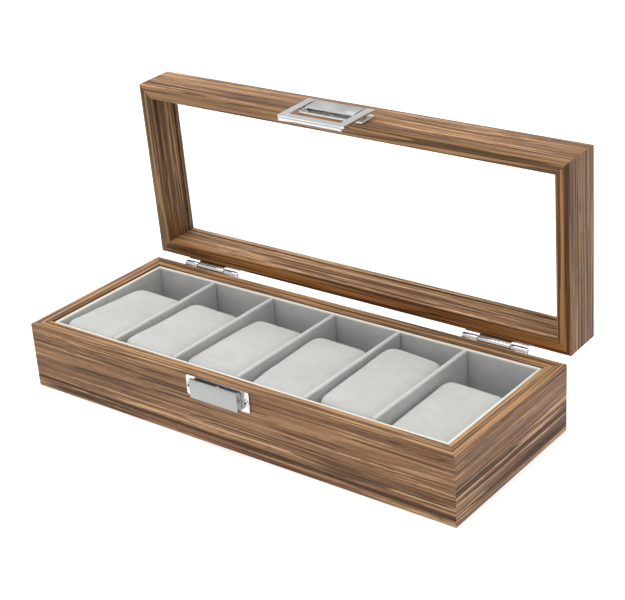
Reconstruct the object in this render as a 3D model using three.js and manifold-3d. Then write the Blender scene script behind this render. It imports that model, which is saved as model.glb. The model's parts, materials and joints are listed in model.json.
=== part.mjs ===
// A six-compartment watch box: a mitred walnut-veneer tray with a velvet liner, five dividers and
// six lift-out cushions, and a glazed lid on two butt hinges that closes with a folding hasp.
// Millimetres. The origin is the centre of the underside, +X runs along the box, +Y to the hinges.
import * as THREE from 'three';
import { mergeVertices } from 'three/addons/utils/BufferGeometryUtils.js';
import Module from 'manifold-3d';

const wasm = await Module();
wasm.setup();

// The box and its lid, closed.
const boxLength = 300;
const boxWidth = 114;
const baseHeight = 41.7;
const lidHeight = 26.9;
const lidSeam = 0.6;
const baseWall = 9;
const jointGap = 0.2;
const mitreGap = 0.15;

// The underside and the liner, whose walls stand a little off the boards.
const feltThickness = 0.8;
const panelThickness = 3;
const linerThickness = 2;
const linerGap = 0.5;
const linerTop = 41;

// The dividers stand by eye, a little off even spacing.
const dividerThickness = 3;
const dividerTop = 41.3;
const dividerCentres = [-92, -45.7, 0.8, 47.6, 92.6];

// The cushions fill their compartments across. Each sits in its own way: where its front and back
// come, how high its middle stands, and how much it rises towards the front per millimetre.
const cushionGap = 0.9;
const cushionCorner = 7;
const cushionBevel = 3;
const cushionSeats = [
  { front: -45.1, back: 25, top: 39.4, slope: 0.06 },
  { front: -45.1, back: 23, top: 40.5, slope: 0.03 },
  { front: -43.8, back: 27.5, top: 38.9, slope: 0.03 },
  { front: -44.6, back: 25, top: 38.7, slope: -0.03 },
  { front: -41.5, back: 31.8, top: 40.6, slope: -0.03 },
  { front: -45.1, back: 21.5, top: 35.9, slope: -0.03 },
];

// The lid's rails: the glass stands in a groove, and the inner top edge is chamfered.
const railWall = 8.7;
const railChamfer = 3;
const glassThickness = 1.8;
const grooveDepth = 3;
const grooveBottom = 60.8;
const glassGap = 0.3;

// The hinges.
const hingeCentres = { left: -106.5, right: 102.8 };
const hingeLength = 42;
const middleKnuckle = 21.4;
const hingeSetBack = 3.2;
const hingeDrop = 0.7;
const openAngle = 87.9;
const knuckleRadius = 2.2;
const pinRadius = 1;
const pinClearance = 0.15;
const knuckleGap = 0.3;
const leafThickness = 1;
const leafReach = 11.5;
const leafClearance = 2.5;

// The latch: a plate and a cover on each half, and a hasp that frames both covers.
const latchCentre = -3;
const plateWidth = 45;
const plateHeight = 12.4;
const plateThickness = 0.8;
const plateCorner = 1.2;
const plateInset = 0.4;
const coverWidth = 34;
const coverHeight = 11.5;
const coverProud = 4.8;
const coverSkin = 0.9;
const haspWidth = 46.5;
const haspWindow = 36;
const haspBottom = 24;
const haspBar = 5;
const haspThickness = 1.2;
const haspPinDepth = 3;
const haspPinRadius = 0.7;
const haspEar = 1.6;
const haspEarWidth = 0.8;

// The screws: short countersunk-style screws with low round heads.
const screwRadius = 0.9;
const screwLength = 5;
const screwHead = 2;
const screwHeadHeight = 0.8;
const screwClearance = 0.2;
const wingScrewOffset = 20.2;
const hingeScrewOffset = 14;

const roundSegments = 16;
const screwSegments = 10;

const halfLength = boxLength / 2;
const halfWidth = boxWidth / 2;
const rimHeight = baseHeight + lidSeam;
const lidTop = rimHeight + lidHeight;
const hinge = { y: halfWidth + hingeSetBack, z: baseHeight - hingeDrop };

const veneer = { color: 0x8b6b52, roughness: 0.55, metalness: 0 };
const fibreboard = { color: 0x9c7a55, roughness: 0.8, metalness: 0 };
const velvet = { color: 0xc6c8c5, roughness: 0.95, metalness: 0 };
const felt = { color: 0x4a4643, roughness: 1, metalness: 0 };
const chrome = { color: 0xdadcdd, roughness: 0.12, metalness: 1 };
const satin = { color: 0xc4c6c2, roughness: 0.4, metalness: 1 };
const clearGlass = { color: 0xf4f8f8, roughness: 0.03, metalness: 0 };

// Solids: closed meshes turned into manifolds for cutting and joining, and back.

function solidOf(geometry) {
  const bare = geometry.clone();
  bare.deleteAttribute('normal');
  bare.deleteAttribute('uv');
  const merged = mergeVertices(bare, 1e-5);
  const mesh = new wasm.Mesh({
    numProp: 3,
    vertProperties: new Float32Array(merged.attributes.position.array),
    triVerts: new Uint32Array(merged.index.array),
  });
  return new wasm.Manifold(mesh);
}

function geometryOf(solid) {
  const mesh = solid.getMesh();
  const geometry = new THREE.BufferGeometry();
  geometry.setAttribute('position', new THREE.BufferAttribute(mesh.vertProperties, mesh.numProp));
  geometry.setIndex(new THREE.BufferAttribute(mesh.triVerts, 1));
  geometry.computeVertexNormals();
  return geometry;
}

function join(...solids) {
  return solids.reduce((whole, piece) => whole.add(piece));
}

function cut(solid, cutters) {
  return cutters.reduce((rest, cutter) => rest.subtract(cutter), solid);
}

function shapeOf(points) {
  return new THREE.Shape(points.map(([u, v]) => new THREE.Vector2(u, v)));
}

// An outline drawn in y and z, run along x.
function alongX(shape, from, to, steps = 8) {
  const geometry = new THREE.ExtrudeGeometry(shape, {
    depth: to - from,
    bevelEnabled: false,
    curveSegments: steps,
  });
  const turn = new THREE.Matrix4().makeBasis(
    new THREE.Vector3(0, 1, 0),
    new THREE.Vector3(0, 0, 1),
    new THREE.Vector3(1, 0, 0),
  );
  return geometry.applyMatrix4(turn).translate(from, 0, 0);
}

// An outline drawn in x and z, run along y.
function alongY(shape, from, to, steps = 6) {
  const geometry = new THREE.ExtrudeGeometry(shape, {
    depth: to - from,
    bevelEnabled: false,
    curveSegments: steps,
  });
  return geometry.rotateX(Math.PI / 2).translate(0, to, 0);
}

// An outline drawn in x and y, run up z.
function alongZ(shape, from, to) {
  const geometry = new THREE.ExtrudeGeometry(shape, { depth: to - from, bevelEnabled: false });
  return geometry.translate(0, 0, from);
}

function block(x, y, z) {
  const geometry = new THREE.BoxGeometry(x[1] - x[0], y[1] - y[0], z[1] - z[0]);
  return geometry.translate((x[0] + x[1]) / 2, (y[0] + y[1]) / 2, (z[0] + z[1]) / 2);
}

function rodAlongX(radius, from, to, y, z, segments = roundSegments) {
  const rod = new THREE.CylinderGeometry(radius, radius, to - from, segments);
  return rod.rotateZ(Math.PI / 2).translate((from + to) / 2, y, z);
}

function rodAlongY(radius, from, to, x, z, segments = screwSegments) {
  const rod = new THREE.CylinderGeometry(radius, radius, to - from, segments);
  return rod.translate(x, (from + to) / 2, z);
}

function roundedRectangle(x0, z0, x1, z1, radius) {
  const shape = new THREE.Shape();
  shape.moveTo(x0 + radius, z0);
  shape.lineTo(x1 - radius, z0);
  shape.absarc(x1 - radius, z0 + radius, radius, -Math.PI / 2, 0);
  shape.lineTo(x1, z1 - radius);
  shape.absarc(x1 - radius, z1 - radius, radius, 0, Math.PI / 2);
  shape.lineTo(x0 + radius, z1);
  shape.absarc(x0 + radius, z1 - radius, radius, Math.PI / 2, Math.PI);
  shape.lineTo(x0, z0 + radius);
  shape.absarc(x0 + radius, z0 + radius, radius, Math.PI, Math.PI * 1.5);
  return shape;
}

function node(parent, name, geometry, finish) {
  const mesh = new THREE.Mesh(geometry, new THREE.MeshStandardMaterial(finish));
  mesh.name = name;
  parent.add(mesh);
  return mesh;
}

// A rectangle of four mitred sides: each is drawn as the front one, then turned into its place.
const sides = [
  { name: 'front', turn: 0 },
  { name: 'right', turn: Math.PI / 2 },
  { name: 'back', turn: Math.PI },
  { name: 'left', turn: -Math.PI / 2 },
];

function mitredSide(side, halfX, halfY, width, z0, z1, section) {
  const turned = side.name === 'left' || side.name === 'right';
  const [run, depth] = turned ? [halfY, halfX] : [halfX, halfY];
  const plan = shapeOf([
    [-run + mitreGap, -depth],
    [run - mitreGap, -depth],
    [run - width - mitreGap, -depth + width],
    [-run + width + mitreGap, -depth + width],
  ]);
  let geometry = alongZ(plan, z0, z1);
  if (section) {
    const bar = solidOf(alongX(section(-depth), -run, run));
    geometry = geometryOf(bar.intersect(solidOf(geometry)));
  }
  return geometry.rotateZ(side.turn);
}

// The tray.

function pilotHole(x, z, face, outward) {
  const depth = screwLength + screwClearance * 2;
  const inner = face - outward * depth;
  const outer = face + outward;
  const radius = screwRadius + screwClearance;
  return solidOf(rodAlongY(radius, Math.min(inner, outer), Math.max(inner, outer), x, z));
}

function trayBoards(parent) {
  const catchHoles = latchScrews(catchScrewHeight).map(([x, z]) => pilotHole(x, z, -halfWidth, -1));
  const hingeHoles = hingeScrews(-1).map(([x, z]) => pilotHole(x, z, halfWidth, 1));
  const holes = { front: catchHoles, back: hingeHoles, left: [], right: [] };
  for (const side of sides) {
    const board = mitredSide(side, halfLength, halfWidth, baseWall, 0, baseHeight);
    const drilled = cut(solidOf(board), holes[side.name]);
    node(parent, `base_${side.name}_board`, geometryOf(drilled), veneer);
  }
}

function traySheet(inset, z0, z1) {
  const x = halfLength - baseWall - inset;
  const y = halfWidth - baseWall - inset;
  return block([-x, x], [-y, y], [z0, z1]);
}

const panelBottom = feltThickness;
const panelTop = panelBottom + panelThickness;
const linerFloorBottom = panelTop + 0.1;
const floorTop = linerFloorBottom + linerThickness;
const linerInset = baseWall + linerGap;
const cellHalfLength = halfLength - linerInset - linerThickness;
const cellHalfWidth = halfWidth - linerInset - linerThickness;

function trayFloor(parent) {
  node(parent, 'underside_felt', traySheet(jointGap, 0, panelBottom - 0.05), felt);
  node(parent, 'base_bottom_panel', traySheet(jointGap, panelBottom, panelTop), fibreboard);
  node(parent, 'liner_floor', traySheet(jointGap, linerFloorBottom, floorTop), velvet);
}

function linerWalls(parent) {
  const x = halfLength - linerInset;
  const y = halfWidth - linerInset;
  const from = floorTop + 0.1;
  for (const side of sides) {
    const wall = mitredSide(side, x, y, linerThickness, from, linerTop);
    node(parent, `liner_${side.name}`, wall, velvet);
  }
}

function dividers(parent) {
  const y = cellHalfWidth - jointGap;
  dividerCentres.forEach((centre, index) => {
    const x = [centre - dividerThickness / 2, centre + dividerThickness / 2];
    const card = block(x, [-y, y], [floorTop + 0.1, dividerTop]);
    node(parent, `divider_${index + 1}`, card, velvet);
  });
}

// The cushions: round-cornered blocks with bevelled edges, sloped along y from a flat bottom.

function cushion(x, seat) {
  const bottom = floorTop + 0.1;
  const rise = seat.top - bottom;
  const plan = roundedRectangle(
    x[0] + cushionBevel,
    seat.front + cushionBevel,
    x[1] - cushionBevel,
    seat.back - cushionBevel,
    cushionCorner - cushionBevel,
  );
  const geometry = new THREE.ExtrudeGeometry(plan, {
    depth: rise - 2 * cushionBevel,
    bevelThickness: cushionBevel,
    bevelSize: cushionBevel,
    bevelSegments: 4,
    curveSegments: 5,
  });
  geometry.translate(0, 0, bottom + cushionBevel);
  const middle = (seat.front + seat.back) / 2;
  const places = geometry.attributes.position;
  for (let i = 0; i < places.count; i += 1) {
    const share = (places.getZ(i) - bottom) / rise;
    const lift = share * seat.slope * (middle - places.getY(i));
    places.setZ(i, places.getZ(i) + lift);
  }
  geometry.computeVertexNormals();
  return geometry;
}

function cushions(parent) {
  const walls = [-cellHalfLength, ...dividerCentres, cellHalfLength];
  const last = cushionSeats.length - 1;
  cushionSeats.forEach((seat, i) => {
    const left = walls[i] + (i > 0 ? dividerThickness / 2 : 0);
    const right = walls[i + 1] - (i < last ? dividerThickness / 2 : 0);
    const geometry = cushion([left + cushionGap, right - cushionGap], seat);
    node(parent, `cushion_${i + 1}`, geometry, velvet);
  });
}

// The lid, drawn closed.

const glassBottom = grooveBottom + glassGap;
const glassTop = glassBottom + glassThickness;
const grooveTop = glassTop + glassGap;

function railSection(face) {
  const inner = face + railWall;
  return shapeOf([
    [face, rimHeight],
    [inner, rimHeight],
    [inner, grooveBottom],
    [inner - grooveDepth, grooveBottom],
    [inner - grooveDepth, grooveTop],
    [inner, grooveTop],
    [inner, lidTop - railChamfer],
    [inner - railChamfer, lidTop],
    [face, lidTop],
  ]);
}

function lidRails(parent) {
  const keeperHoles = latchScrews(keeperScrewHeight).map(([x, z]) => pilotHole(x, z, -halfWidth, -1));
  const hingeHoles = hingeScrews(1).map(([x, z]) => pilotHole(x, z, halfWidth, 1));
  const holes = { front: keeperHoles, back: hingeHoles, left: [], right: [] };
  for (const side of sides) {
    const rail = mitredSide(side, halfLength, halfWidth, railWall, rimHeight, lidTop, railSection);
    const drilled = cut(solidOf(rail), holes[side.name]);
    node(parent, `lid_${side.name}_rail`, geometryOf(drilled), veneer);
  }
}

function lidGlazing(parent) {
  const inset = railWall - grooveDepth + glassGap;
  const x = halfLength - inset;
  const y = halfWidth - inset;
  const pane = block([-x, x], [-y, y], [glassBottom, glassTop]);
  node(parent, 'lid_glass', pane, clearGlass);
}

// The hinges: a rolled leaf on each half and a pin through both.

function leafScrewHeight(up) {
  return hinge.z + up * (leafReach + leafClearance) / 2;
}

function hingeScrews(up) {
  const places = [];
  for (const centre of Object.values(hingeCentres)) {
    places.push([centre - hingeScrewOffset, leafScrewHeight(up)]);
    places.push([centre + hingeScrewOffset, leafScrewHeight(up)]);
  }
  return places;
}

function hingeLeaf(centre, up, knuckles) {
  const back = halfWidth + jointGap;
  const front = back + leafThickness;
  const far = hinge.z + up * leafReach;
  const near = hinge.z + up * leafClearance;
  const z = [Math.min(far, near), Math.max(far, near)];
  const x = [centre - hingeLength / 2, centre + hingeLength / 2];
  let leaf = solidOf(block(x, [back, front], z));
  for (const [from, to] of knuckles) {
    const rise = [Math.min(hinge.z, near), Math.max(hinge.z, near)];
    const neck = solidOf(block([from, to], [back, front], rise));
    const barrel = solidOf(rodAlongX(knuckleRadius, from, to, hinge.y, hinge.z));
    leaf = join(leaf, neck, barrel);
  }
  const bore = rodAlongX(pinRadius + pinClearance, x[0] - 1, x[1] + 1, hinge.y, hinge.z);
  const holes = [-1, 1].map((side) => {
    const at = centre + side * hingeScrewOffset;
    const radius = screwRadius + screwClearance;
    return solidOf(rodAlongY(radius, back - 1, front + 1, at, leafScrewHeight(up)));
  });
  return geometryOf(cut(leaf, [solidOf(bore), ...holes]));
}

function hingePin(centre) {
  const half = hingeLength / 2 + 0.5;
  const profile = [
    new THREE.Vector2(0, -half),
    new THREE.Vector2(pinRadius * 0.7, -half),
    new THREE.Vector2(pinRadius, -half + 0.4),
    new THREE.Vector2(pinRadius, half - 0.4),
    new THREE.Vector2(pinRadius * 0.7, half),
    new THREE.Vector2(0, half),
  ];
  const pin = new THREE.LatheGeometry(profile, roundSegments);
  return pin.rotateZ(-Math.PI / 2).translate(centre, hinge.y, hinge.z);
}

function hinges(tray, lid) {
  for (const [name, centre] of Object.entries(hingeCentres)) {
    const split = middleKnuckle / 2;
    const end = hingeLength / 2;
    const middle = [[centre - split + knuckleGap, centre + split - knuckleGap]];
    const ends = [
      [centre - end, centre - split - knuckleGap],
      [centre + split + knuckleGap, centre + end],
    ];
    node(tray, `hinge_${name}_base_leaf`, hingeLeaf(centre, -1, ends), chrome);
    node(lid, `hinge_${name}_lid_leaf`, hingeLeaf(centre, 1, middle), chrome);
    node(tray, `hinge_${name}_pin`, hingePin(centre), chrome);
  }
}

// Screws. Each is turned about its own axis, so that its head faces outward along y.

function screw(x, z, seat, outward) {
  const profile = [
    [0, -screwLength],
    [screwRadius * 0.4, -screwLength],
    [screwRadius, -screwLength + 1],
    [screwRadius, 0],
    [screwHead, 0],
    [screwHead, screwHeadHeight * 0.35],
    [screwHead * 0.6, screwHeadHeight * 0.85],
    [0, screwHeadHeight],
  ];
  const points = profile.map(([radius, height]) => new THREE.Vector2(radius, height));
  const geometry = new THREE.LatheGeometry(points, screwSegments);
  if (outward < 0) geometry.rotateX(Math.PI);
  return geometry.translate(x, seat + outward * 0.1, z);
}

function hingeScrewSet(parent, half, up) {
  const seat = halfWidth + jointGap + leafThickness;
  hingeScrews(up).forEach(([x, z], index) => {
    node(parent, `hinge_${half}_screw_${index + 1}`, screw(x, z, seat, 1), chrome);
  });
}

// The latch. The catch on the tray and the keeper on the lid mirror each other across the seam.

const plateBack = -halfWidth - jointGap;
const plateFront = plateBack - plateThickness;
const coverFront = -halfWidth - coverProud;
const coverBack = plateFront - jointGap;
const catchTop = baseHeight - plateInset;
const keeperBottom = rimHeight + plateInset;
const catchScrewHeight = catchTop - plateHeight / 2;
const keeperScrewHeight = keeperBottom + plateHeight / 2;
const centreScrewRise = 2.4;

function latchScrews(height) {
  const towardsSeam = height < rimHeight ? 1 : -1;
  return [
    [latchCentre - wingScrewOffset, height],
    [latchCentre, height + towardsSeam * centreScrewRise],
    [latchCentre + wingScrewOffset, height],
  ];
}

function latchPlate(bottom, screwHeight) {
  const left = latchCentre - plateWidth / 2;
  const right = latchCentre + plateWidth / 2;
  const outline = roundedRectangle(left, bottom, right, bottom + plateHeight, plateCorner);
  const plate = solidOf(alongY(outline, plateFront, plateBack, 3));
  const radius = screwRadius + screwClearance;
  const holes = latchScrews(screwHeight).map(([x, z]) => {
    return solidOf(rodAlongY(radius, plateFront - 1, plateBack + 1, x, z));
  });
  return geometryOf(cut(plate, holes));
}

// A cover's end cheek: square at the front, rounded where it meets the plate beside the mouth.
function cheekOutline(closed, mouth) {
  const towards = Math.sign(mouth - closed);
  const round = coverBack - coverFront - coverSkin;
  const shape = new THREE.Shape();
  shape.moveTo(coverFront, closed);
  shape.lineTo(coverBack, closed);
  shape.lineTo(coverBack, mouth - towards * round);
  const start = 0;
  const finish = (towards * Math.PI) / 2;
  shape.absarc(coverBack - round, mouth - towards * round, round, start, finish, towards < 0);
  shape.lineTo(coverFront, mouth);
  return shape;
}

function latchCover(closed, mouth) {
  const left = latchCentre - coverWidth / 2;
  const right = latchCentre + coverWidth / 2;
  const span = [Math.min(closed, mouth), Math.max(closed, mouth)];
  const skin = Math.sign(mouth - closed) * coverSkin;
  const floor = [Math.min(closed, closed + skin), Math.max(closed, closed + skin)];
  const face = solidOf(block([left, right], [coverFront, coverFront + coverSkin], span));
  const end = solidOf(block([left, right], [coverFront, coverBack], floor));
  const cheek = cheekOutline(closed, mouth);
  const leftCheek = solidOf(alongX(cheek, left, left + coverSkin, 5));
  const rightCheek = solidOf(alongX(cheek, right - coverSkin, right, 5));
  return join(face, end, leftCheek, rightCheek);
}

const haspPin = { y: -halfWidth - haspPinDepth, z: keeperBottom + coverHeight - 1.6 };
const haspTop = haspPin.z + haspEar;
const haspFront = coverFront - 0.1;

function haspPinBore(radius) {
  const reach = haspWidth / 2;
  const from = latchCentre - reach;
  return rodAlongX(radius, from, latchCentre + reach, haspPin.y, haspPin.z, 12);
}

function latchScrewSet(parent, half, height) {
  latchScrews(height).forEach(([x, z], index) => {
    const geometry = screw(x, z, plateFront, -1);
    node(parent, `${half}_screw_${index + 1}`, geometry, chrome);
  });
}

function catchHalf(parent) {
  node(parent, 'catch_plate', latchPlate(catchTop - plateHeight, catchScrewHeight), chrome);
  node(parent, 'catch_cover', geometryOf(latchCover(catchTop - coverHeight, catchTop)), satin);
  latchScrewSet(parent, 'catch', catchScrewHeight);
}

function keeperHalf(parent) {
  node(parent, 'keeper_plate', latchPlate(keeperBottom, keeperScrewHeight), chrome);
  const cover = latchCover(keeperBottom + coverHeight, keeperBottom);
  const bored = cut(cover, [solidOf(haspPinBore(haspPinRadius + pinClearance))]);
  node(parent, 'keeper_cover', geometryOf(bored), satin);
  latchScrewSet(parent, 'keeper', keeperScrewHeight);
}

// The hasp: a flat frame open at its pivot end, with a rolled lip under its lower bar.
function haspOutline() {
  const outer = haspWidth / 2;
  const inner = haspWindow / 2;
  const corner = 1.5;
  const shape = new THREE.Shape();
  shape.moveTo(latchCentre - outer + corner, haspBottom);
  shape.lineTo(latchCentre + outer - corner, haspBottom);
  shape.absarc(latchCentre + outer - corner, haspBottom + corner, corner, -Math.PI / 2, 0);
  shape.lineTo(latchCentre + outer, haspTop);
  shape.lineTo(latchCentre + inner, haspTop);
  shape.lineTo(latchCentre + inner, haspBottom + haspBar);
  shape.lineTo(latchCentre - inner, haspBottom + haspBar);
  shape.lineTo(latchCentre - inner, haspTop);
  shape.lineTo(latchCentre - outer, haspTop);
  shape.lineTo(latchCentre - outer, haspBottom + corner);
  shape.absarc(latchCentre - outer + corner, haspBottom + corner, corner, Math.PI, Math.PI * 1.5);
  return shape;
}

function haspLip() {
  const outerRadius = 1.6;
  const depth = 3;
  const shape = new THREE.Shape();
  const back = haspFront + haspThickness;
  shape.moveTo(haspFront, haspBottom + 1.2);
  shape.absarc(haspFront + outerRadius, haspBottom + 1.2, outerRadius, Math.PI, Math.PI * 1.5);
  shape.lineTo(haspFront + depth, haspBottom - 0.1);
  shape.lineTo(haspFront + depth, haspBottom + 0.8);
  shape.lineTo(back + 0.6, haspBottom + 0.7);
  shape.lineTo(back, haspBottom + 1.4);
  shape.lineTo(haspFront, haspBottom + 1.4);
  const half = haspWidth / 2 - 1.2;
  return solidOf(alongX(shape, latchCentre - half, latchCentre + half, 4));
}

function haspEarSolid(side) {
  const inner = latchCentre + side * (haspWindow / 2 - 0.5);
  const outer = inner + side * haspEarWidth * 1.25;
  const x = [Math.min(inner, outer), Math.max(inner, outer)];
  const disc = solidOf(rodAlongX(haspEar, x[0], x[1], haspPin.y, haspPin.z, 12));
  const neck = [haspPin.z - haspEar, haspTop];
  return join(disc, solidOf(block(x, [haspFront + 0.2, haspPin.y], neck)));
}

function hasp(parent) {
  const frame = solidOf(alongY(haspOutline(), haspFront, haspFront + haspThickness, 4));
  const whole = join(frame, haspLip(), haspEarSolid(-1), haspEarSolid(1));
  const bored = cut(whole, [solidOf(haspPinBore(haspPinRadius + pinClearance))]);
  node(parent, 'hasp_frame', geometryOf(bored), chrome);
}

function haspPinPiece(parent) {
  const half = haspWindow / 2 + 0.9;
  const rod = rodAlongX(haspPinRadius, latchCentre - half, latchCentre + half, haspPin.y, haspPin.z, 12);
  node(parent, 'hasp_pin', rod, chrome);
}

// The whole box, with the lid stood open on its hinges.

const watchBox = new THREE.Group();

const tray = new THREE.Group();
watchBox.add(tray);
trayBoards(tray);
trayFloor(tray);
linerWalls(tray);
dividers(tray);
cushions(tray);
catchHalf(tray);
hingeScrewSet(tray, 'base', -1);

const lidPivot = new THREE.Group();
lidPivot.position.set(0, hinge.y, hinge.z);
lidPivot.rotation.x = THREE.MathUtils.degToRad(-openAngle);
watchBox.add(lidPivot);

const lid = new THREE.Group();
lid.position.set(0, -hinge.y, -hinge.z);
lidPivot.add(lid);
lidRails(lid);
lidGlazing(lid);
keeperHalf(lid);
hingeScrewSet(lid, 'lid', 1);
hasp(lid);
haspPinPiece(lid);
hinges(tray, lid);

export default watchBox;
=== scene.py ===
"""Finishes for a six-compartment watch box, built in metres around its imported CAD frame."""

import json
import math

import bmesh
import bpy
from mathutils import Matrix, Vector, noise


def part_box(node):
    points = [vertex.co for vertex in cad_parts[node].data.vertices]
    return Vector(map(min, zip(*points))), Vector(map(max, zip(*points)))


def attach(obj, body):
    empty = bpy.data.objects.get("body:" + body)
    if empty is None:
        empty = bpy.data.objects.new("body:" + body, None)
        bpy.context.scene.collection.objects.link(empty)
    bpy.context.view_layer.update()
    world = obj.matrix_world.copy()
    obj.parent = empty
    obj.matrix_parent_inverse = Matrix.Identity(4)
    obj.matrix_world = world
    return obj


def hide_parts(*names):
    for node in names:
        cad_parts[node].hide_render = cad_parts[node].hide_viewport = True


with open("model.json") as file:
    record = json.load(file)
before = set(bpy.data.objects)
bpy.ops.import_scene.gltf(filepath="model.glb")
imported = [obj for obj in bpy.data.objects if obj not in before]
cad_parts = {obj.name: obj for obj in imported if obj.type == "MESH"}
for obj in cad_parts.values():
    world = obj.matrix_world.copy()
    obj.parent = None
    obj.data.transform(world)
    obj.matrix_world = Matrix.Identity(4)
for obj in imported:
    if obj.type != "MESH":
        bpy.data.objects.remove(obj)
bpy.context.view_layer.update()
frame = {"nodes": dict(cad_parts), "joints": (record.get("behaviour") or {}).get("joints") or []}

MM = 0.001
scene = bpy.context.scene
TURNS = {"front": 0.0, "right": math.pi / 2, "back": math.pi, "left": -math.pi / 2}


# The camera, set to the framing of a long lens from the front right.

CAMERA_PLACE = (0.5082, -0.6076, 0.4380)
CAMERA_AZIMUTH = math.radians(38.41)
CAMERA_ELEVATION = math.radians(25.74)
CAMERA_ROLL = math.radians(-3.8)
CAMERA_LENS = 89.13
CAMERA_SHIFT = (-0.0125, 0.028)


def add_camera():
    sine, cosine = math.sin(CAMERA_AZIMUTH), math.cos(CAMERA_AZIMUTH)
    flat = math.cos(CAMERA_ELEVATION)
    forward = Vector((-sine * flat, cosine * flat, -math.sin(CAMERA_ELEVATION)))
    level = Vector((cosine, sine, 0.0))
    upright = level.cross(forward)
    right = math.cos(CAMERA_ROLL) * level + math.sin(CAMERA_ROLL) * upright
    up = right.cross(forward)
    data = bpy.data.cameras.new("camera")
    data.lens = CAMERA_LENS
    data.sensor_width = 36.0
    data.shift_x, data.shift_y = CAMERA_SHIFT
    data.clip_end = 50.0
    camera = bpy.data.objects.new("camera", data)
    scene.collection.objects.link(camera)
    axes = Matrix((right, up, -forward)).transposed()
    camera.matrix_world = Matrix.Translation(CAMERA_PLACE) @ axes.to_4x4()
    scene.camera = camera


def add_area_light(name, place, aim, size, power, colour):
    data = bpy.data.lights.new(name, "AREA")
    data.shape = "SQUARE"
    data.size = size
    data.energy = power
    data.color = colour
    light = bpy.data.objects.new(name, data)
    light.location = place
    light.rotation_euler = (Vector(aim) - Vector(place)).to_track_quat("-Z", "Y").to_euler()
    scene.collection.objects.link(light)


# Shader graphs.


class Graph:
    """A small builder for one material's nodes; an input is a socket to link or a value to set."""

    def __init__(self, name):
        self.material = bpy.data.materials.new(name)
        self.material.use_nodes = True
        self.tree = self.material.node_tree
        self.tree.nodes.clear()
        self.output = self.tree.nodes.new("ShaderNodeOutputMaterial")
        self.coordinates = self.tree.nodes.new("ShaderNodeTexCoord").outputs["Object"]

    def add(self, kind, **inputs):
        made = self.tree.nodes.new("ShaderNode" + kind)
        for key, value in inputs.items():
            self.feed(made.inputs[key.replace("_", " ")], value)
        return made

    def feed(self, socket, value):
        if isinstance(value, bpy.types.NodeSocket):
            self.tree.links.new(value, socket)
        else:
            socket.default_value = value

    def noise(self, scale, detail=2.0, offset=0.0, roughness=0.5, where=None, shift=0.0):
        """Noise stretched by a scale per axis, in cycles per metre. Shift moves it across the grain."""
        vector = self.add("Mapping", Vector=where or self.coordinates)
        vector.inputs["Scale"].default_value = scale
        place = (offset, offset * 0.7 + 3.1 + shift, offset * 1.3 + 7.7 + shift)
        vector.inputs["Location"].default_value = place
        made = self.add("TexNoise", Vector=vector.outputs[0], Scale=1.0, Detail=detail, Roughness=roughness)
        return made.outputs[0]

    def math(self, operation, *values):
        made = self.tree.nodes.new("ShaderNodeMath")
        made.operation = operation
        for socket, value in zip(made.inputs, values):
            self.feed(socket, value)
        return made.outputs[0]

    def times(self, first, *others):
        for other in others:
            first = self.math("MULTIPLY", first, other)
        return first

    def fit(self, value, low, high, to_low=0.0, to_high=1.0):
        """Maps low..high to to_low..to_high with a smooth step."""
        made = self.tree.nodes.new("ShaderNodeMapRange")
        made.interpolation_type = "SMOOTHSTEP"
        for socket, item in zip(made.inputs, (value, low, high, to_low, to_high)):
            self.feed(socket, item)
        return made.outputs[0]

    def ramp(self, value, stops):
        made = self.tree.nodes.new("ShaderNodeValToRGB")
        self.feed(made.inputs[0], value)
        band = made.color_ramp
        while len(band.elements) < len(stops):
            band.elements.new(0.5)
        for element, (at, colour) in zip(band.elements, stops):
            element.position = at
            element.color = (*colour, 1.0)
        return made.outputs[0]

    def mix(self, amount, first, second, blend="MIX"):
        made = self.tree.nodes.new("ShaderNodeMix")
        made.data_type = "RGBA"
        made.blend_type = blend
        self.feed(made.inputs[0], amount)
        for socket, value in ((made.inputs[6], first), (made.inputs[7], second)):
            self.feed(socket, value if isinstance(value, bpy.types.NodeSocket) else (*value, 1.0))
        return made.outputs[2]

    def bump(self, height, distance, strength=1.0):
        return self.add("Bump", Height=height, Distance=distance, Strength=strength).outputs[0]

    def surface(self, **inputs):
        shader = self.add("BsdfPrincipled", **inputs)
        self.tree.links.new(shader.outputs[0], self.output.inputs[0])
        return self.material


# The colours of the wood's ground and lines, and the golden foils of its rims.

UMBER = (0.048, 0.018, 0.006)
BARK = (0.115, 0.052, 0.021)
WALNUT = (0.196, 0.103, 0.049)
FAWN = (0.250, 0.138, 0.068)
STRAW = (0.600, 0.385, 0.210)
HONEY = (0.350, 0.196, 0.092)
# AMBER, RUSSET, OCHRE and TAWNY are the lid rails' rim golds, each made darker or lighter rail by rail:
# painted shade and light for how the light falls on each rail.
AMBER = (0.225, 0.088, 0.022)
RUSSET = (0.200, 0.092, 0.032)
OCHRE = (0.165, 0.086, 0.030)
TAWNY = (0.220, 0.118, 0.052)
GOLD_LIFT = (0.190, 0.095, 0.035)

# The foil's printed patterns, in cycles per metre along and across the grain.
GRAIN = {
    "wander": (5.0, 45.0),
    "broad": (3.0, 60.0),
    "band": (6.0, 250.0),
    "line": (5.0, 430.0),
    "hair": (11.0, 760.0),
    "dash": (60.0, 1050.0),
    "pore": (160.0, 2600.0),
    "patch": (11.0, 80.0),
}
GRAIN_DRIFT = 5.0 * MM
LIGHT_LINE_SHIFT = 0.36
ARCH_RISE = 3.0 * MM
RIM_START = 0.05 * MM
RIM_LAP = 0.55 * MM


def tinted(colour, factor):
    return tuple(c * factor for c in colour)


def grain(g, pattern, seed, detail=2.0, roughness=0.5, where=None, shift=0.0):
    along, across = GRAIN[pattern]
    return g.noise((along, across, across), detail, seed, roughness, where, shift)


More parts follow.
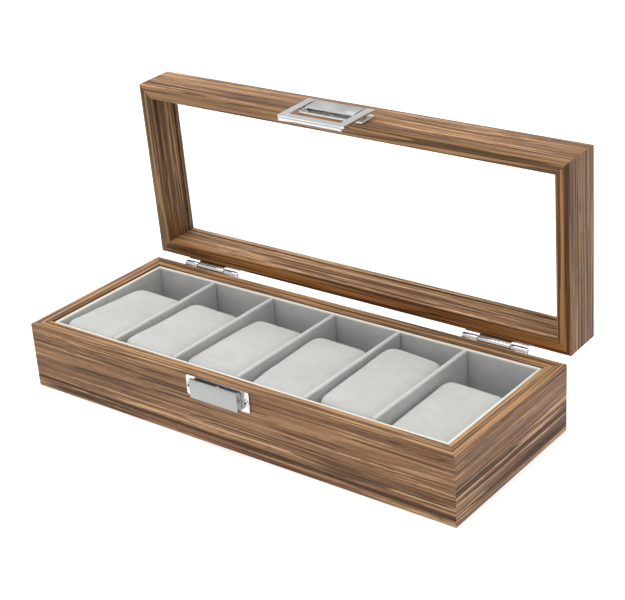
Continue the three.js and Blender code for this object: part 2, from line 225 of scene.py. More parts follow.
def arched(g, parts, height, arch):
    """The grain's height, bent by a flame figure given as (centre, level, reach, width)."""
    centre, level, reach, width = arch
    along = g.math("DIVIDE", g.math("SUBTRACT", parts[0], centre), reach)
    across = g.math("DIVIDE", g.math("SUBTRACT", parts[2], level), width)
    distance = g.math("ADD", g.math("ABSOLUTE", along), g.times(across, across))
    inside = g.fit(distance, 0.5, 1.4, 1.0, 0.0)
    return g.math("ADD", height, g.times(inside, along, ARCH_RISE))


def golden_area(g, parts, top, bevel, foot):
    """1 on the face at z = top, on the bevel beside it and on the face at z = foot."""
    area = g.fit(parts[2], top - RIM_LAP, top - RIM_START)
    if bevel:
        deep = g.fit(parts[1], bevel - 0.4 * MM, bevel)
        high = g.fit(parts[2], top - 3.4 * MM, top - 2.9 * MM)
        area = g.math("MAXIMUM", area, g.times(deep, high))
    if foot:
        area = g.math("MAXIMUM", area, g.fit(parts[2], foot + RIM_LAP, foot + RIM_START))
    return area


def gilded(g, gold, band, line, beside, hair):
    """Golden foil: bright and dark lines on a warm ground."""
    bright = tuple(c * 0.9 + lift for c, lift in zip(gold, GOLD_LIFT))
    gilt = g.ramp(band, ((0.34, tinted(gold, 0.70)), (0.50, gold), (0.68, tinted(gold, 1.25))))
    gilt = g.mix(g.times(g.fit(beside, 0.545, 0.570), 0.70), gilt, bright)
    gilt = g.mix(g.times(g.fit(hair, 0.450, 0.420), 0.55), gilt, bright)
    gilt = g.mix(g.times(g.fit(line, 0.555, 0.580), 0.80), gilt, tinted(gold, 0.22))
    return g.mix(g.times(g.fit(hair, 0.560, 0.590), 0.80), gilt, tinted(gold, 0.24))


def veneer(name, seed, low, high, top, dense, tone_and_light, gold=HONEY, bevel=None, foot=None, arch=None):
    """Printed walnut foil with its grain along x.

    The lines crowd towards z = low and thin out towards high. The face at z = top, the one at z = foot
    and a bevel that begins at the given depth carry a more golden foil.
    """
    g = Graph(name)
    parts = g.add("SeparateXYZ", Vector=g.coordinates).outputs
    drift = g.times(g.math("SUBTRACT", grain(g, "wander", seed), 0.5), GRAIN_DRIFT)
    height = g.math("ADD", parts[2], drift)
    if arch:
        height = arched(g, parts, height, arch)
    where = g.add("CombineXYZ", X=parts[0], Y=g.math("ADD", parts[1], drift), Z=height).outputs[0]
    broad = grain(g, "broad", seed + 1.0, where=where)
    band = grain(g, "band", seed + 2.0, where=where)
    line = grain(g, "line", seed + 3.0, 1.0, where=where)
    beside = grain(g, "line", seed + 3.0, 1.0, where=where, shift=LIGHT_LINE_SHIFT)
    hair = grain(g, "hair", seed + 4.0, 1.0, 0.55, where)
    dash = grain(g, "dash", seed + 5.0, 1.0, 0.6, where)
    pore = grain(g, "pore", seed + 6.0, where=where)
    patch = grain(g, "patch", seed + 7.0, 1.0)
    crowd = g.fit(g.math("ADD", parts[2], g.times(drift, 2.0)), high, low, 1.0 - dense, 1.0)

    dark = g.times(g.fit(line, 0.575, 0.600), crowd)
    light = g.times(g.fit(beside, 0.585, 0.605), crowd)
    thin = g.times(g.fit(hair, 0.580, 0.620), g.fit(patch, 0.36, 0.60, 0.40, 0.95))
    pale = g.times(g.fit(hair, 0.405, 0.365), g.fit(patch, 0.62, 0.40, 0.35, 0.90))
    flecks = g.times(g.fit(dash, 0.60, 0.66), g.fit(patch, 0.60, 0.40, 0.20, 0.75))
    colour = g.ramp(broad, ((0.34, WALNUT), (0.62, FAWN)))
    colour = g.mix(g.times(g.fit(band, 0.50, 0.36, 0.0, 0.45), crowd), colour, BARK)
    colour = g.mix(g.times(g.fit(band, 0.56, 0.70, 0.0, 0.30), crowd), colour, STRAW)
    colour = g.mix(g.times(light, 0.85), colour, STRAW)
    colour = g.mix(g.times(pale, 0.75), colour, STRAW)
    colour = g.mix(g.times(dark, 0.92), colour, UMBER)
    colour = g.mix(g.times(thin, 0.90), colour, UMBER)
    colour = g.mix(flecks, colour, UMBER)
    colour = g.mix(g.fit(pore, 0.56, 0.66, 0.0, 0.30), colour, UMBER)
    # The tone factor multiplies the foil: partly its own warm tone, partly painted light and shade set
    # board by board.
    colour = g.mix(1.0, colour, tone_and_light, "MULTIPLY")
    gilt = gilded(g, gold, band, line, beside, hair)
    colour = g.mix(golden_area(g, parts, top, bevel, foot), colour, gilt)
    seam_low = g.fit(parts[2], top - 1.0 * MM, top - 0.7 * MM)
    seam_high = g.fit(parts[2], top - 0.35 * MM, top - 0.55 * MM)
    colour = g.mix(g.times(seam_low, seam_high, 0.45), colour, UMBER)

    relief = g.math("SUBTRACT", g.times(light, 0.5), dark)
    relief = g.math("SUBTRACT", relief, g.fit(pore, 0.52, 0.68, 0.0, 0.9))
    return g.surface(
        Base_Color=colour,
        Roughness=g.fit(g.math("ADD", line, g.times(pore, 0.5)), 0.5, 1.0, 0.42, 0.60),
        Normal=g.bump(relief, 0.03 * MM, 0.6),
        Specular_IOR_Level=0.25,
    )


def nap(name, dark, light, seed, fuzz=0.25, tooth_scale=1.0, crest=None, crown=None):
    """Short velvet pile with brushed clouds and a fine tooth, lighter towards the crown colour above the
    crest: a painted highlight where the pile's top catches the light.
    """
    g = Graph(name)
    cloud = g.noise((26.0, 34.0, 30.0), 3.0, seed, 0.55)
    brush = g.noise((120.0, 260.0, 220.0), 3.0, seed + 1.0, 0.6)
    tooth = g.noise((1900.0 * tooth_scale,) * 3, 2.0, seed + 2.0)
    pile = g.noise((650.0 * tooth_scale,) * 3, 3.0, seed + 3.0, 0.65)
    blend = g.math("ADD", g.times(cloud, 0.55), g.times(brush, 0.30))
    blend = g.math("ADD", blend, g.times(pile, 0.15))
    colour = g.ramp(blend, ((0.34, dark), (0.66, light)))
    colour = g.mix(g.fit(tooth, 0.55, 0.75, 0.0, 0.16), colour, tinted(dark, 0.72))
    # Painted highlight: above the crest the pile is mixed towards the lighter crown colour.
    if crest:
        level = g.add("SeparateXYZ", Vector=g.coordinates).outputs[2]
        lit_crest = g.fit(g.math("ADD", level, g.times(brush, 0.8 * MM)), crest - 0.9 * MM, crest)
        colour = g.mix(lit_crest, colour, crown)
    height = g.math("ADD", g.times(pile, 0.6), g.times(tooth, 0.4))
    return g.surface(
        Base_Color=colour,
        Roughness=g.fit(pile, 0.3, 0.7, 0.86, 1.0),
        Normal=g.bump(height, 0.12 * MM, 0.55),
        Sheen_Weight=fuzz,
        Sheen_Roughness=0.45,
        Sheen_Tint=(0.95, 0.96, 0.94, 1.0),
        Specular_IOR_Level=0.12,
    )


def metal(name, colour, gloss, seed, brushed=(900.0, 900.0, 900.0), scratch=0.02 * MM, metallic=1.0):
    """Plated metal with faint handling marks. Brushed is the marks' scale, and scratch their depth."""
    g = Graph(name)
    smear = g.noise((60.0, 60.0, 60.0), 3.0, seed)
    hair = g.noise(brushed, 3.0, seed + 1.0, 0.6)
    shade = g.mix(g.fit(smear, 0.35, 0.7), tinted(colour, 0.88), colour)
    shade = g.mix(g.fit(hair, 0.55, 0.75, 0.0, 0.25), shade, tinted(colour, 0.6))
    smeared = g.fit(smear, 0.3, 0.7, gloss * 0.8, gloss * 1.3)
    return g.surface(
        Base_Color=shade,
        Metallic=metallic,
        Roughness=g.math("ADD", smeared, g.fit(hair, 0.4, 0.7, 0.0, 0.06)),
        Normal=g.bump(hair, scratch, 0.4),
    )


def pressed_fibre(name, seed):
    g = Graph(name)
    fibre = g.noise((700.0, 700.0, 2500.0), 4.0, seed, 0.7)
    blot = g.noise((40.0, 40.0, 40.0), 2.0, seed + 1.0)
    colour = g.ramp(fibre, ((0.3, (0.20, 0.115, 0.055)), (0.7, (0.40, 0.26, 0.14))))
    colour = g.mix(g.fit(blot, 0.4, 0.7, 0.0, 0.3), colour, (0.25, 0.15, 0.08))
    rough = g.fit(fibre, 0.3, 0.7, 0.7, 0.95)
    return g.surface(Base_Color=colour, Roughness=rough, Normal=g.bump(fibre, 0.1 * MM))


def pane(name):
    """Clear float glass that lets shadow rays straight through."""
    g = Graph(name)
    smudge = g.noise((18.0, 18.0, 18.0), 4.0, 5.0, 0.6)
    glass = g.add(
        "BsdfPrincipled",
        Base_Color=g.mix(smudge, (0.985, 0.995, 0.99), (1.0, 1.0, 1.0)),
        Roughness=g.fit(smudge, 0.45, 0.75, 0.0, 0.03),
        Transmission_Weight=1.0,
        IOR=1.45,
    )
    clear = g.add("BsdfTransparent")
    path = g.add("LightPath")
    blend = g.add("MixShader")
    g.tree.links.new(path.outputs["Is Shadow Ray"], blend.inputs[0])
    g.tree.links.new(glass.outputs[0], blend.inputs[1])
    g.tree.links.new(clear.outputs[0], blend.inputs[2])
    g.tree.links.new(blend.outputs[0], g.output.inputs[0])
    return g.material


# Mesh helpers. Lengths are in metres.


def new_object(name, points, faces, matrix=None, smooth_angle=35.0):
    mesh = bpy.data.meshes.new(name)
    mesh.from_pydata([tuple(p) for p in points], [], faces)
    mesh.validate()
    mesh.shade_smooth()
    mesh.set_sharp_from_angle(angle=math.radians(smooth_angle))
    made = bpy.data.objects.new(name, mesh)
    scene.collection.objects.link(made)
    if matrix:
        made.matrix_world = matrix
    return made


def outward(obj):
    """Turns every face outward."""
    shape = bmesh.new()
    shape.from_mesh(obj.data)
    bmesh.ops.recalc_face_normals(shape, faces=shape.faces)
    shape.to_mesh(obj.data)
    shape.free()


def finish_piece(obj, material, body, slot, *replaced):
    outward(obj)
    obj.data.materials.clear()
    obj.data.materials.append(material)
    if replaced:
        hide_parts(*replaced)
    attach(obj, body)


def rounded_outline(corners, steps=4):
    """A closed outline from (u, v, radius) corners, each turned in a few short chords."""
    points = []
    count = len(corners)
    for i, (u, v, radius) in enumerate(corners):
        here = Vector((u, v))
        to_last = Vector(corners[i - 1][:2]) - here
        to_next = Vector(corners[(i + 1) % count][:2]) - here
        if radius <= 0.0:
            points.append(here)
            continue
        one, two = to_last.normalized(), to_next.normalized()
        half = one.angle(two) / 2
        if abs(half - math.pi / 2) < 1e-4:
            points.append(here)
            continue
        centre = here + (one + two).normalized() * (radius / math.sin(half))
        start = here + one * (radius / math.tan(half)) - centre
        finish = here + two * (radius / math.tan(half)) - centre
        sweep = start.angle_signed(finish)
        for k in range(steps + 1):
            turn = -sweep * k / steps
            c, s = math.cos(turn), math.sin(turn)
            points.append(centre + Vector((start.x * c - start.y * s, start.x * s + start.y * c)))
    return points


def shrunk(points, inset):
    """The outline moved inward along its own normals."""
    count = len(points)
    area = sum(points[i - 1].cross(points[i]) for i in range(count))
    side = 1.0 if area > 0 else -1.0
    moved = []
    for i, here in enumerate(points):
        before = (here - points[i - 1]).normalized()
        after = (points[(i + 1) % count] - here).normalized()
        normal = Vector((-(before + after).y, (before + after).x)).normalized() * side
        spread = max(0.5, normal.dot(Vector((-before.y, before.x)) * side))
        moved.append(here + normal * inset / spread)
    return moved


def skin(loops):
    """Faces round a stack of equal loops, closed by a cap at each end."""
    count = len(loops[0])
    faces = []
    for ring in range(len(loops) - 1):
        for i in range(count):
            j = (i + 1) % count
            at = ring * count
            faces.append((at + i, at + j, at + count + j, at + count + i))
    last = (len(loops) - 1) * count
    faces.append(tuple(reversed(range(count))))
    faces.append(tuple(range(last, last + count)))
    return [p for loop in loops for p in loop], faces


def mitred_bar(name, outline, run, chamfer, matrix, stations=2, wave=0.0, seed=0.0):
    """A bar along x with 45 degree ends. The outline is in (depth, height), with depth 0 outside."""
    inner = shrunk(outline, chamfer)
    loops = []
    for k in range(stations + 1):
        share = -1.0 + 2.0 * k / stations
        end = k in (0, stations)
        keep = chamfer * 1.5 if end else 0.0
        loop = []
        for depth, height in outline:
            x = share * (run - depth) - math.copysign(keep, share)
            lift = wave * noise.noise(Vector((x * 60.0, height * 40.0 + seed, seed)))
            loop.append((x, depth + lift, height))
        cap = [(share * (run - depth), depth, height) for depth, height in inner]
        if k == 0:
            loops.append(cap)
        loops.append(loop)
        if k == stations:
            loops.append(cap)
    return new_object(name, *skin(loops), matrix)


def stops_along(half, radius, spacing, steps=3):
    """Grid stops from -half to half, close together inside the rounded edges."""
    flat = half - radius
    edge = [flat + radius * math.tan(math.radians(45.0 * k / steps)) for k in range(1, steps + 1)]
    count = max(1, round(2 * flat / spacing))
    middle = [-flat + 2 * flat * k / count for k in range(count + 1)]
    return [-e for e in reversed(edge)] + middle + edge


def rounded_block(name, low, high, radius, spacing, steps=3):
    """A block with round edges, gridded finely enough to be pushed about."""
    low, high = Vector(low), Vector(high)
    centre, half = (low + high) / 2, (high - low) / 2
    stops = [stops_along(half[axis], radius, spacing, steps) for axis in range(3)]
    index, points, faces = {}, [], []

    def corner(key):
        if key not in index:
            raw = Vector([stops[axis][key[axis]] for axis in range(3)])
            core = Vector([max(-half[a] + radius, min(half[a] - radius, raw[a])) for a in range(3)])
            away = raw - core
            placed = core + away.normalized() * radius if away.length > 1e-9 else raw
            index[key] = len(points)
            points.append(centre + placed)
        return index[key]

    for axis in range(3):
        u, v = (axis + 1) % 3, (axis + 2) % 3
        for face in (0, len(stops[axis]) - 1):
            for i in range(len(stops[u]) - 1):
                for j in range(len(stops[v]) - 1):
                    quad = []
                    for du, dv in ((0, 0), (1, 0), (1, 1), (0, 1)):
                        key = [0, 0, 0]
                        key[axis], key[u], key[v] = face, i + du, j + dv
                        quad.append(corner(tuple(key)))
                    faces.append(tuple(quad))
    return new_object(name, points, faces, None, 60.0)


def ruffle(obj, amount, pitch, seed, axis=None):
    """Moves the points by slow noise, along one axis or along their normals."""
    for vertex in obj.data.vertices:
        where = Vector(vertex.co) / pitch + Vector((seed, seed * 2.0, 0.0))
        push = amount * noise.noise(where)
        if axis is None:
            vertex.co += vertex.normal * push
        else:
            vertex.co[axis] += push


def soften(obj, width, segments=3, angle=30.0):
    """A bevel on a piece's sharp edges. CAD meshes are welded first."""
    weld = obj.modifiers.new("weld", "WELD")
    weld.merge_threshold = 0.002 * MM
    bevel = obj.modifiers.new("bevel", "BEVEL")
    bevel.width = width
    bevel.segments = segments
    bevel.limit_method = "ANGLE"
    bevel.angle_limit = math.radians(angle)


def shading_by_angle():
    """A geometry node group that shades smooth across shallow edges only."""
    tree = bpy.data.node_groups.new("shade_by_angle", "GeometryNodeTree")
    tree.interface.new_socket("Geometry", in_out="INPUT", socket_type="NodeSocketGeometry")
    tree.interface.new_socket("Geometry", in_out="OUTPUT", socket_type="NodeSocketGeometry")
    start = tree.nodes.new("NodeGroupInput")
    end = tree.nodes.new("NodeGroupOutput")
    faces = tree.nodes.new("GeometryNodeSetShadeSmooth")
    edges = tree.nodes.new("GeometryNodeSetShadeSmooth")
    edges.domain = "EDGE"
    edges.inputs["Shade Smooth"].default_value = False
    angle = tree.nodes.new("GeometryNodeInputMeshEdgeAngle")
    steep = tree.nodes.new("FunctionNodeCompare")
    steep.operation = "GREATER_THAN"
    steep.inputs[1].default_value = math.radians(35.0)
    tree.links.new(start.outputs[0], faces.inputs[0])
    tree.links.new(faces.outputs[0], edges.inputs[0])
    tree.links.new(angle.outputs[0], steep.inputs[0])
    tree.links.new(steep.outputs[0], edges.inputs["Selection"])
    tree.links.new(edges.outputs[0], end.inputs[0])
    return tree


SHADING = shading_by_angle()


def dress_node(name, material, bevel=0.0):
    """A better material, and soft edges, on a CAD node that stays."""
    obj = frame["nodes"][name]
    obj.data.materials.clear()
    obj.data.materials.append(material)
    if bevel:
        soften(obj, bevel)
        obj.modifiers.new("shading", "NODES").node_group = SHADING


# Where the open lid's own axes are: its pieces are drawn closed and then swung open.

hinge = next(joint for joint in frame["joints"] if joint["name"] == "lid_hinge")
pivot = Matrix.Translation(hinge["pos_m"])
swing = Matrix.Rotation(math.radians(-hinge["range_deg"][0]), 4, Vector(hinge["axis"]))
OPEN = pivot @ swing @ pivot.inverted()
SHUT = OPEN.inverted()


def closed_box(name):
    """A lid node's box with the lid shut."""
    points = [SHUT @ v.co for v in frame["nodes"][name].data.vertices]
    low = Vector([min(p[a] for p in points) for a in range(3)])
    high = Vector([max(p[a] for p in points) for a in range(3)])
    return low, high


def side_matrix(side, half_x, half_y):
    """Board axes for one side: x along it, y inward from its outer face, z up."""
    reach = half_x if side in ("left", "right") else half_y
    return Matrix.Rotation(TURNS[side], 4, "Z") @ Matrix.Translation((0.0, -reach, 0.0))


# The wooden case.

base_low, base_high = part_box("base_front_board")
mitre_gap = 0.15 * MM
half_x = base_high.x + mitre_gap
half_y = -base_low.y
wall = base_high.y - base_low.y
rim_z = base_high.z
lid_low, lid_high = closed_box("lid_front_rail")
rail = lid_high.y - lid_low.y
glass_low, glass_high = closed_box("lid_glass")
groove_gap = 0.3 * MM
groove_depth = 3.0 * MM
lid_chamfer = 3.0 * MM

# Each board's tone factor is partly the foil's own warmth and partly painted light and shade, set board by
# board for how the light falls on it, from 0.70 on the right lid rail to 1.55 on the back lid rail.
FOILS = {
    "base_front_board": dict(seed=1.0, low=8 * MM, high=30 * MM, dense=0.75, tone_and_light=(0.94, 0.87, 0.80)),
    "base_right_board": dict(seed=23.0, low=24 * MM, high=38 * MM, dense=0.6, tone_and_light=(0.89, 0.83, 0.81)),
    "base_back_board": dict(seed=37.0, low=10 * MM, high=34 * MM, dense=0.6, tone_and_light=(0.95, 0.90, 0.85)),
    "base_left_board": dict(seed=51.0, low=10 * MM, high=34 * MM, dense=0.6, tone_and_light=(0.95, 0.90, 0.85)),
    "lid_front_rail": dict(
        seed=65.0,
        low=43 * MM,
        high=60 * MM,
        dense=0.6,
        tone_and_light=(1.12, 1.04, 0.93),
        arch=(35 * MM, 56 * MM, 70 * MM, 9 * MM),
        gold=TAWNY,
    ),
    "lid_right_rail": dict(
        seed=79.0, low=44 * MM, high=66 * MM, dense=0.5, tone_and_light=(0.70, 0.59, 0.46), gold=RUSSET,
    ),
    "lid_back_rail": dict(
        seed=93.0, low=44 * MM, high=66 * MM, dense=0.4, tone_and_light=(1.55, 1.52, 1.45), gold=AMBER,
    ),
    "lid_left_rail": dict(
        seed=107.0, low=44 * MM, high=66 * MM, dense=0.35, tone_and_light=(0.98, 0.88, 0.70), gold=OCHRE,
    ),
}


def make_case():
    edge = 0.55 * MM
    board = rounded_outline([(0, 0, edge), (wall, 0, edge), (wall, rim_z, edge), (0, rim_z, edge)])
    low, high, top, bottom = lid_low.z, lid_high.z, glass_high.z + groove_gap, glass_low.z - groove_gap
    small = 0.25 * MM
    mitre = 0.06 * MM
    rail_section = rounded_outline([
        (0, low, edge), (rail, low, edge), (rail, bottom, small), (rail - groove_depth, bottom, 0),
        (rail - groove_depth, top, 0), (rail, top, small), (rail, high - lid_chamfer, small),
        (rail - lid_chamfer, high, edge), (0, high, edge),
    ])
    for side in TURNS:
        run = half_x if side in ("front", "back") else half_y
        place = side_matrix(side, half_x, half_y)
        name = f"base_{side}_board"
        piece = mitred_bar(f"case_{side}_board", board, run, mitre, place)
        foil = veneer(f"foil_base_{side}", top=rim_z, **FOILS[name])
        finish_piece(piece, foil, "base", "walnut_veneer", name)
        name = f"lid_{side}_rail"
        piece = mitred_bar(f"lid_{side}_moulding", rail_section, run, mitre, OPEN @ place)
        foil = veneer(f"foil_lid_{side}", top=high, bevel=rail - lid_chamfer, foot=low, **FOILS[name])
        finish_piece(piece, foil, "lid", "walnut_veneer", name)


# The velvet lining.

PILE_DARK = (0.430, 0.438, 0.427)
PILE_LIGHT = (0.545, 0.553, 0.538)
# The crown colours are painted highlights on the tops of the liner walls and dividers.
LINER_CREST_HIGHLIGHT = (0.74, 0.71, 0.64)
DIVIDER_CREST_HIGHLIGHT = (0.53, 0.535, 0.515)
PILLOW_DARK = (0.435, 0.440, 0.425)
PILLOW_LIGHT = (0.530, 0.536, 0.516)


def make_lining():
    low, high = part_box("liner_front")
    divider_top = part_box("divider_1")[1].z
    velvet = nap("liner_velvet", PILE_DARK, PILE_LIGHT, 3.0, crest=high.z, crown=LINER_CREST_HIGHLIGHT)
    card_velvet = nap("divider_velvet", PILE_DARK, PILE_LIGHT, 6.0, crest=divider_top, crown=DIVIDER_CREST_HIGHLIGHT)
    reach_x, reach_y = high.x, -low.y
    thick = high.y - low.y
    crown = thick * 0.42
    foot = 0.2 * MM
    corners = [(0, low.z, foot), (thick, low.z, foot), (thick, high.z, crown), (0, high.z, crown)]
    card = rounded_outline(corners)
    for index, side in enumerate(TURNS):
        run = reach_x if side in ("front", "back") else reach_y
        place = side_matrix(side, reach_x, reach_y)
        piece = mitred_bar(f"lining_{side}", card, run, 0.05 * MM, place, 60, 0.12 * MM, 4.0 * index)
        finish_piece(piece, velvet, "base", "velvet_liner", f"liner_{side}")
    low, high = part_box("liner_floor")
    piece = rounded_block("lining_floor", low, high, 0.4 * MM, 6.0 * MM)
    finish_piece(piece, velvet, "base", "velvet_liner", "liner_floor")
    for index in range(1, 6):
        low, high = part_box(f"divider_{index}")
        piece = rounded_block(f"divider_card_{index}", low, high, (high.x - low.x) * 0.42, 3.0 * MM)
        ruffle(piece, 0.3 * MM, 14.0 * MM, 2.7 * index, 0)
        ruffle(piece, 0.1 * MM, 6.0 * MM, 5.1 * index)
        finish_piece(piece, card_velvet, "base", "velvet_liner", f"divider_{index}")


# The cushions: each is blown up a little by a cloth simulation, worked at eight times its size.

SCALE_UP = 8.0
VOXEL = 1.9 * MM
PRESSURE = 4.0
MOST_SWELL = 0.9 * MM
LAST_FRAME = 20
FLAT_FOOT = 0.8 * MM

# How much lower each cushion's right edge sits than its left edge.
LEANS = (1.8 * MM, 2.0 * MM, 1.8 * MM, 1.8 * MM, 2.6 * MM, 1.4 * MM)


def evaluated_copy(obj):
    graph = bpy.context.evaluated_depsgraph_get()
    return bpy.data.meshes.new_from_object(obj.evaluated_get(graph))


def puff(obj):
    """Cloth under pressure, with no gravity. Each point swells outward, up to a most."""
    start = [(v.co.copy(), v.normal.copy()) for v in obj.data.vertices]
    cloth = obj.modifiers.new("cloth", "CLOTH")
    settings = cloth.settings
    settings.quality = 6
    settings.mass = 0.3
    settings.use_pressure = True
    settings.uniform_pressure_force = PRESSURE
    settings.tension_stiffness = 12.0
    settings.compression_stiffness = 12.0
    settings.shear_stiffness = 6.0
    settings.bending_stiffness = 0.6
    settings.effector_weights.gravity = 0.0
    cloth.collision_settings.use_collision = False
    for number in range(1, LAST_FRAME + 1):
        scene.frame_set(number)
    swollen = evaluated_copy(obj)
    obj.modifiers.remove(cloth)
    for vertex, (before, normal), after in zip(obj.data.vertices, start, swollen.vertices):
        push = (after.co - before).dot(normal)
        vertex.co = before + normal * max(0.0, min(MOST_SWELL * SCALE_UP, push))
    bpy.data.meshes.remove(swollen)
    scene.frame_set(1)


def smooth_out(mesh, rounds):
    shape = bmesh.new()
    shape.from_mesh(mesh)
    every_axis = dict(use_axis_x=True, use_axis_y=True, use_axis_z=True)
    for _ in range(rounds):
        bmesh.ops.smooth_vert(shape, verts=shape.verts, factor=0.5, **every_axis)
    shape.to_mesh(mesh)
    shape.free()


def make_cushion(index, material):
    node = f"cushion_{index}"
    low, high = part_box(node)
    centre = (low + high) / 2
    mesh = frame["nodes"][node].data.copy()
    shape = bmesh.new()
    shape.from_mesh(mesh)
    bmesh.ops.remove_doubles(shape, verts=shape.verts, dist=0.01 * MM)
    for vert in shape.verts:
        vert.co = (vert.co - centre) * SCALE_UP
    shape.to_mesh(mesh)
    shape.free()
    piece = bpy.data.objects.new(f"watch_pillow_{index}", mesh)
    scene.collection.objects.link(piece)
    remesh = piece.modifiers.new("remesh", "REMESH")
    remesh.mode = "VOXEL"
    remesh.voxel_size = VOXEL * SCALE_UP
    fine = evaluated_copy(piece)
    piece.modifiers.clear()
    smooth_out(fine, 4)
    piece.data = fine
    puff(piece)
    smooth_out(piece.data, 2)
    settle(piece, low, high, index)
    divide = piece.modifiers.new("divide", "SUBSURF")
    divide.levels = 1
    divide.render_levels = 1
    smooth = evaluated_copy(piece)
    piece.modifiers.clear()
    piece.data = smooth
    piece.data.shade_smooth()
    finish_piece(piece, material, node, "velvet_cushion", node)


def settle(piece, low, high, index):
    """Fits a cushion back into its own space at full size, flat where it rests on the floor."""
    points = [v.co.copy() for v in piece.data.vertices]
    for axis in range(3):
        least = min(p[axis] for p in points)
        most = max(p[axis] for p in points)
        if axis == 2:
            least += FLAT_FOOT * SCALE_UP
        stretch = (high[axis] - low[axis]) / (most - least)
        for vertex, point in zip(piece.data.vertices, points):
            vertex.co[axis] = low[axis] + (point[axis] - least) * stretch
    for vertex in piece.data.vertices:
        share = (vertex.co.x - low.x) / (high.x - low.x)
        vertex.co.z -= (vertex.co.z - low.z) * (LEANS[index - 1] / (high.z - low.z)) * share
        wave = noise.noise(vertex.co / (13 * MM) + Vector((index * 3.3, 0, 0)))
        vertex.co += vertex.normal * 0.2 * MM * wave
        vertex.co.z = max(low.z, vertex.co.z)


def make_cushions():
    velvet = nap("pillow_velvet", PILLOW_DARK, PILLOW_LIGHT, 11.0, 0.3)
    for index in range(1, 7):
        make_cushion(index, velvet)


# Metal fittings.


SCREW_HEAD = 0.8 * MM
SCREW_EDGE = 0.22 * MM
SCREW_DOME = 0.58 * MM
SHANK_RADIUS = 0.85 * MM
TIP_RADIUS = 0.15 * MM
TIP_LENGTH = 1.0 * MM
CROSS_REACH = 1.0 * MM
CROSS_SLOPE = 0.25 * MM
CROSS_DEPTH = 0.6 * MM
CROSS_NARROWING = 3.0
SCREW_SEGMENTS = 36
DOME_RINGS = 12


def dome_height(radius, r):
    """How far the dome stands above its seat at a distance r from the axis."""
    return SCREW_EDGE + SCREW_DOME * math.sqrt(max(0.0, 1.0 - (r / radius) ** 2))


def cross_depth(x, z, turned):
    """How deep the cross recess is at one point of the head."""
    u = abs(x * math.cos(turned) + z * math.sin(turned))
    v = abs(-x * math.sin(turned) + z * math.cos(turned))
    reach = min(max(u, v * CROSS_NARROWING), max(v, u * CROSS_NARROWING))
    return CROSS_DEPTH * (1.0 - min(1.0, max(0.0, (reach - CROSS_REACH) / CROSS_SLOPE)))


def name_number(text):
    """A number that depends only on the text, to turn each screw its own way."""
    return sum(ord(letter) * (place + 1) for place, letter in enumerate(text))


def screw_head(name, node, out, material, recess, body, matrix=None):
    """A low domed head with a cross recess, on a short shank. Out is the way it faces along y."""
    low, high = closed_box(node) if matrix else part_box(node)
    centre = (low + high) / 2
    top = high.y if out > 0 else -low.y
    bottom = low.y if out > 0 else -high.y
    radius = (high.x - low.x) / 2
    seat = top - SCREW_HEAD
    rings = [
        (bottom, TIP_RADIUS),
        (bottom + TIP_LENGTH, SHANK_RADIUS),
        (seat, SHANK_RADIUS),
        (seat, radius * 0.96),
        (seat + SCREW_EDGE, radius),
    ]
    for ring in range(DOME_RINGS, 0, -1):
        r = radius * 0.97 * ring / DOME_RINGS
        rings.append((seat + dome_height(radius, r), r))
    turned = 0.35 + 0.9 * (name_number(name) % 7) / 7.0
    rows = []
    for height, r in rings:
        row = []
        for k in range(SCREW_SEGMENTS):
            turn = 2 * math.pi * k / SCREW_SEGMENTS
            x, z = r * math.cos(turn), r * math.sin(turn)
            along = height
            if along > seat + SCREW_EDGE - 0.01 * MM:
                along -= cross_depth(x, z, turned)
            row.append((centre.x + x, out * along, centre.z + z))
        rows.append(row)
    piece = new_object(name, *skin(rows), matrix, 40.0)
    finish_piece(piece, material, body, "chrome", node)
    # The sunk faces of the cross recess get the second, dark material: painted shade in the recess.
    piece.data.materials.append(recess)
    for face in piece.data.polygons:
        above_seat = out * face.center.y - seat
        inside = math.hypot(face.center.x - centre.x, face.center.z - centre.z)
        sunk = above_seat < dome_height(radius, inside) - 0.3 * MM
        if inside < radius * 0.8 and sunk and above_seat > -0.5 * MM:
            face.material_index = 1


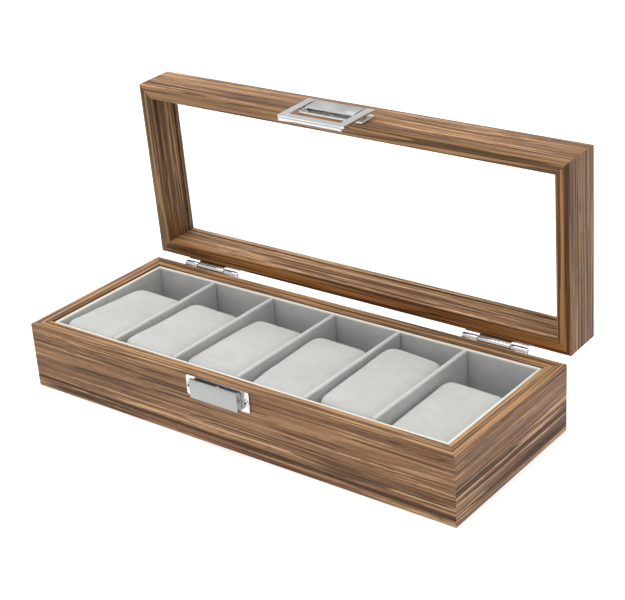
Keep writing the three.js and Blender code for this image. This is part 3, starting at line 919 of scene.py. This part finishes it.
def make_fittings():
    fine, satin_lines = (500.0, 500.0, 500.0), (160.0, 2200.0, 2200.0)
    chrome = metal("bright_chrome", (0.72, 0.72, 0.73), 0.10, 7.0, (400.0, 400.0, 400.0), 0.004 * MM)
    plate = metal("plated_steel", (0.70, 0.695, 0.69), 0.14, 13.0, fine, 0.006 * MM)
    # The keeper plate gets a paler, less metallic copy of the plate finish: painted light for light
    # reaching it under its cover.
    pale = metal("keeper_nickel_painted_light", (0.86, 0.855, 0.85), 0.40, 19.0, fine, 0.006 * MM, 0.15)
    # A dark material for the screws' cross recesses: painted shade.
    recess_shade = metal("recess_painted_shade", (0.10, 0.095, 0.09), 0.5, 23.0)
    satin = metal("satin_nickel", (0.50, 0.51, 0.50), 0.34, 17.0, satin_lines, 0.03 * MM)
    # The catch cover gets a darker copy of the satin nickel: painted shade.
    shaded = metal("satin_nickel_painted_shade", (0.405, 0.415, 0.405), 0.34, 27.0, satin_lines, 0.03 * MM)
    dress_node("catch_plate", plate, 0.18 * MM)
    dress_node("keeper_plate", pale, 0.18 * MM)
    dress_node("catch_cover", shaded, 0.22 * MM)
    dress_node("keeper_cover", satin, 0.22 * MM)
    dress_node("hasp_frame", chrome, 0.22 * MM)
    dress_node("hasp_pin", chrome, 0.08 * MM)
    for side in ("left", "right"):
        dress_node(f"hinge_{side}_base_leaf", chrome, 0.12 * MM)
        dress_node(f"hinge_{side}_lid_leaf", chrome, 0.12 * MM)
        dress_node(f"hinge_{side}_pin", chrome, 0.08 * MM)
    for on_base, on_lid, out, count in (("catch", "keeper", -1, 3), ("hinge_base", "hinge_lid", 1, 4)):
        for number in range(1, count + 1):
            for half, body, matrix in ((on_base, "base", None), (on_lid, "lid", OPEN)):
                name = f"{half}_screw_head_{number}"
                screw_head(name, f"{half}_screw_{number}", out, chrome, recess_shade, body, matrix)


def make_underside():
    low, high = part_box("underside_felt")
    piece = rounded_block("underside_cloth", low, high, 0.3 * MM, 8.0 * MM)
    cloth = nap("felt_cloth", (0.035, 0.032, 0.030), (0.085, 0.078, 0.074), 29.0, 0.1, 0.7)
    finish_piece(piece, cloth, "base", "underside_felt", "underside_felt")
    dress_node("base_bottom_panel", pressed_fibre("pressed_fibre", 41.0))
    dress_node("lid_glass", pane("clear_pane"))


FLOOR_SIZE = 8.0
FLOOR_DROP = 0.05 * MM
FLOOR_GLOW = 0.60
WORLD_STRENGTH = 0.80
KEY_PLACE = (-0.35, 0.15, 2.3)
KEY_AIM = (0.0, 0.0, 0.05)
KEY_SIZE = 1.8
KEY_POWER = 40.0
KEY_COLOUR = (1.0, 0.995, 0.98)


def make_studio():
    g = Graph("floor_paper")
    speck = g.noise((40.0, 40.0, 40.0), 4.0, 2.0)
    paper = g.ramp(speck, ((0.3, (0.76, 0.76, 0.76)), (0.7, (0.79, 0.79, 0.79))))
    g.surface(Base_Color=paper, Roughness=0.9, Emission_Color=paper, Emission_Strength=FLOOR_GLOW)
    near, far = -FLOOR_SIZE, FLOOR_SIZE
    corners = [(near, near, 0.0), (far, near, 0.0), (far, far, 0.0), (near, far, 0.0)]
    floor = new_object("floor", corners, [(0, 1, 2, 3)])
    floor.data.materials.append(g.material)
    floor.location.z = -FLOOR_DROP
    world = bpy.data.worlds.new("studio")
    world.use_nodes = True
    background = world.node_tree.nodes["Background"]
    background.inputs["Color"].default_value = (1.0, 1.0, 1.0, 1.0)
    background.inputs["Strength"].default_value = WORLD_STRENGTH
    scene.world = world
    add_area_light("key", KEY_PLACE, KEY_AIM, KEY_SIZE, KEY_POWER, KEY_COLOUR)
    scene.view_settings.view_transform = "Standard"
    scene.view_settings.look = "None"


make_studio()
add_camera()
make_case()
make_lining()
make_cushions()
make_fittings()
make_underside()
